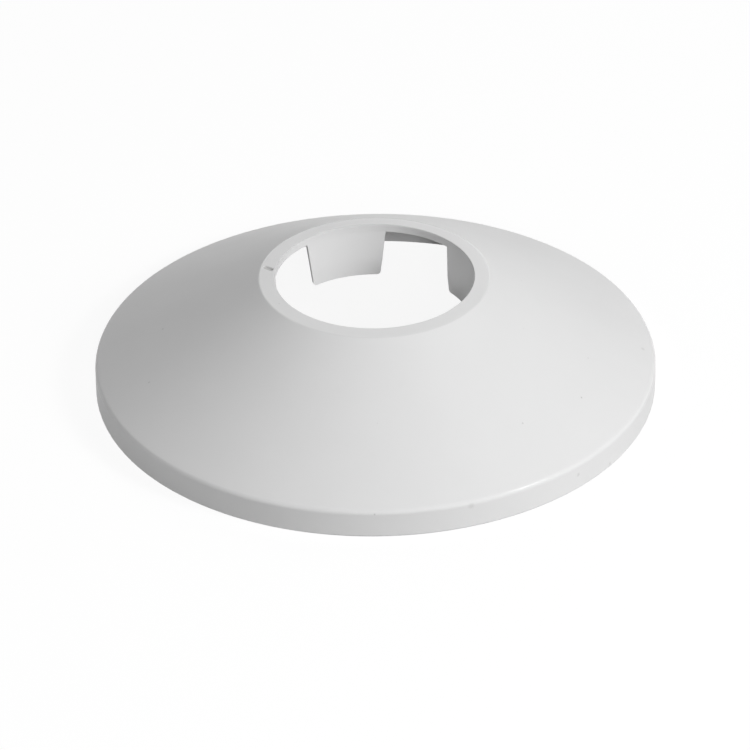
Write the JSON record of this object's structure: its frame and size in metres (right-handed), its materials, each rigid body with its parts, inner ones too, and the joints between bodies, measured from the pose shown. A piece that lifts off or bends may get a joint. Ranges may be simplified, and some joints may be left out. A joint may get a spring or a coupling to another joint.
{
  "type": "pipe escutcheon",
  "caption": "Conical collar that hides the hole round a pipe: upright skirt, straight cone, flat land round the hole, and tongues hanging inside it that grip the pipe.",
  "frame": {"origin": "centre of the rim, on the plane that lies against the wall", "axes": "+Z along the pipe, away from the wall; the picture looks along +Y with +X to the right"},
  "size_m": [0.116, 0.116, 0.0256],
  "materials": {
    "white_plastic": "satin, as moulded"
  },
  "bodies": {
    "root": {"collar": "white_plastic"}
  },
  "joints": []
}
